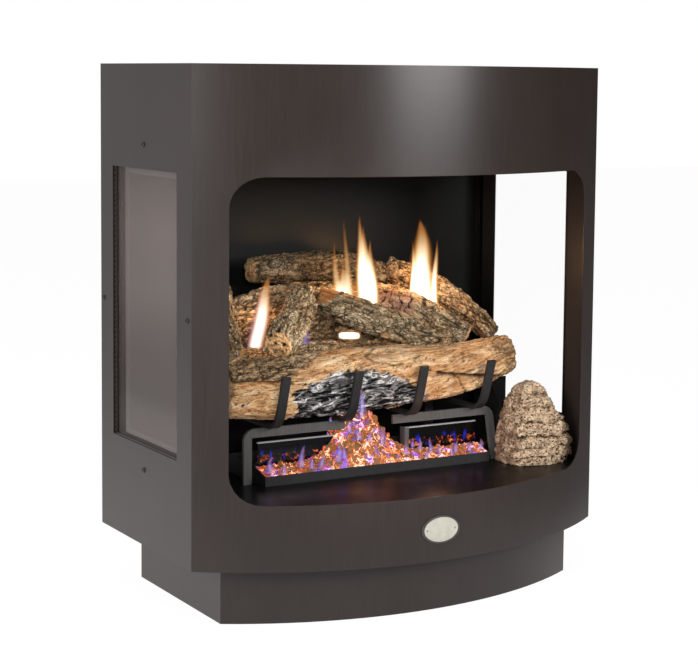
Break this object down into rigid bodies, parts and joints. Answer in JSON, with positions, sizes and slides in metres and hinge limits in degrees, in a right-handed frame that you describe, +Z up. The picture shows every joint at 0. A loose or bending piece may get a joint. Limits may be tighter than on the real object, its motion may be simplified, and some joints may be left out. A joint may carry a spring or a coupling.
{
  "type": "vent-free gas fireplace",
  "caption": "Free-standing vent-free gas fireplace with a bowed steel cabinet on a plinth, glass side windows, a ceramic log set over a burner pan and a lift-off control rock.",
  "frame": {"origin": "on the floor, below the centre of the whole object", "axes": "+Z up, the bowed front faces -Y, +X to the right seen from the front"},
  "size_m": [0.819, 0.5184, 0.926],
  "materials": {
    "bronze_steel": "satin bronze-brown enamel with a very fine vertical grain",
    "black_steel": "satin black heat-resistant paint",
    "window_glass": "clear tempered glass",
    "gasket_rope": "braided fibreglass rope, dark brown",
    "black_screw": "black oxide pan head",
    "badge_enamel": "plain ivory enamel plate with a dark rim",
    "grate_steel": "matt charcoal heat-resistant paint",
    "burner_steel": "aluminised steel",
    "ember_ceramic": "glowing rock wool and vermiculite embers",
    "log_ceramic": "painted refractory ceramic, bark and split wood",
    "rock_ceramic": "painted refractory ceramic rock",
    "valve_aluminium": "cast",
    "black_plastic": "moulded",
    "brass": "drawn",
    "button_steel": "bright",
    "pipe_steel": "black iron pipe",
    "flame": "gas flame"
  },
  "bodies": {
    "root": {"plinth_front_wrap": "bronze_steel", "plinth_back": "bronze_steel", "top_panel": "bronze_steel", "back_panel": "bronze_steel", "front_panel": "bronze_steel", "corner_post_left": "bronze_steel", "corner_post_right": "bronze_steel", "side_panel_left": "bronze_steel", "side_panel_right": "bronze_steel", "base_pan": "black_steel", "hearth_floor": "black_steel", "firebox_back": "black_steel", "firebox_ceiling": "black_steel", "control_bracket": "black_steel", "ember_plate_left": "black_steel", "ember_plate_right": "black_steel", "glass_retainer_left": "black_steel", "glass_retainer_right": "black_steel", "window_glass_left": "window_glass", "window_glass_right": "window_glass", "window_gasket_left": "gasket_rope", "window_gasket_right": "gasket_rope", "side_screw_left_top": "black_screw", "side_screw_left_bottom": "black_screw", "side_screw_left_front": "black_screw", "side_screw_left_rear": "black_screw", "side_screw_right_top": "black_screw", "side_screw_right_bottom": "black_screw", "side_screw_right_front": "black_screw", "side_screw_right_rear": "black_screw", "badge_plate": "badge_enamel", "grate_rail_left": "grate_steel", "grate_rail_right": "grate_steel", "grate_rear_frame": "grate_steel", "grate_finger_1": "grate_steel", "grate_finger_2": "grate_steel", "grate_finger_3": "grate_steel", "grate_finger_4": "grate_steel", "burner_pan": "grate_steel", "burner_tube": "burner_steel", "pilot_assembly": "burner_steel", "ember_bed": "ember_ceramic", "log_front": "log_ceramic", "log_middle_base": "log_ceramic", "log_rear_base": "log_ceramic", "log_rear_upper": "log_ceramic", "log_left_side": "log_ceramic", "log_left_cross": "log_ceramic", "log_centre_cross": "log_ceramic", "log_right_cross": "log_ceramic", "log_right_back": "log_ceramic", "log_back": "log_ceramic", "gas_valve": "valve_aluminium", "igniter_body": "black_plastic", "supply_pipe": "brass", "inlet_pipe": "pipe_steel"},
    "control_rock": {"control_rock": "rock_ceramic"},
    "valve_stem": {"valve_stem": "brass"},
    "control_knob": {"control_knob": "black_plastic"},
    "igniter_button": {"igniter_button": "button_steel"}
  },
  "joints": [
    {"name": "valve_turn", "type": "hinge", "parent": "root", "child": "valve_stem", "pos_m": [0.293, -0.0517, 0.249], "axis": [0, -1, 0], "range_deg": [0, 180]},
    {"name": "knob_push", "type": "slide", "parent": "valve_stem", "child": "control_knob", "axis": [0, 1, 0], "range_m": [0, 0.005], "stiffness_N_per_m": 800, "springref_m": -0.002},
    {"name": "igniter_press", "type": "slide", "parent": "root", "child": "igniter_button", "axis": [0, 1, 0], "range_m": [0, 0.008], "stiffness_N_per_m": 600, "springref_m": -0.002},
    {"name": "rock_lift", "type": "slide", "parent": "root", "child": "control_rock", "axis": [-0.4505, -0.8509, 0.2703], "range_m": [0, 0.25]}
  ]
}
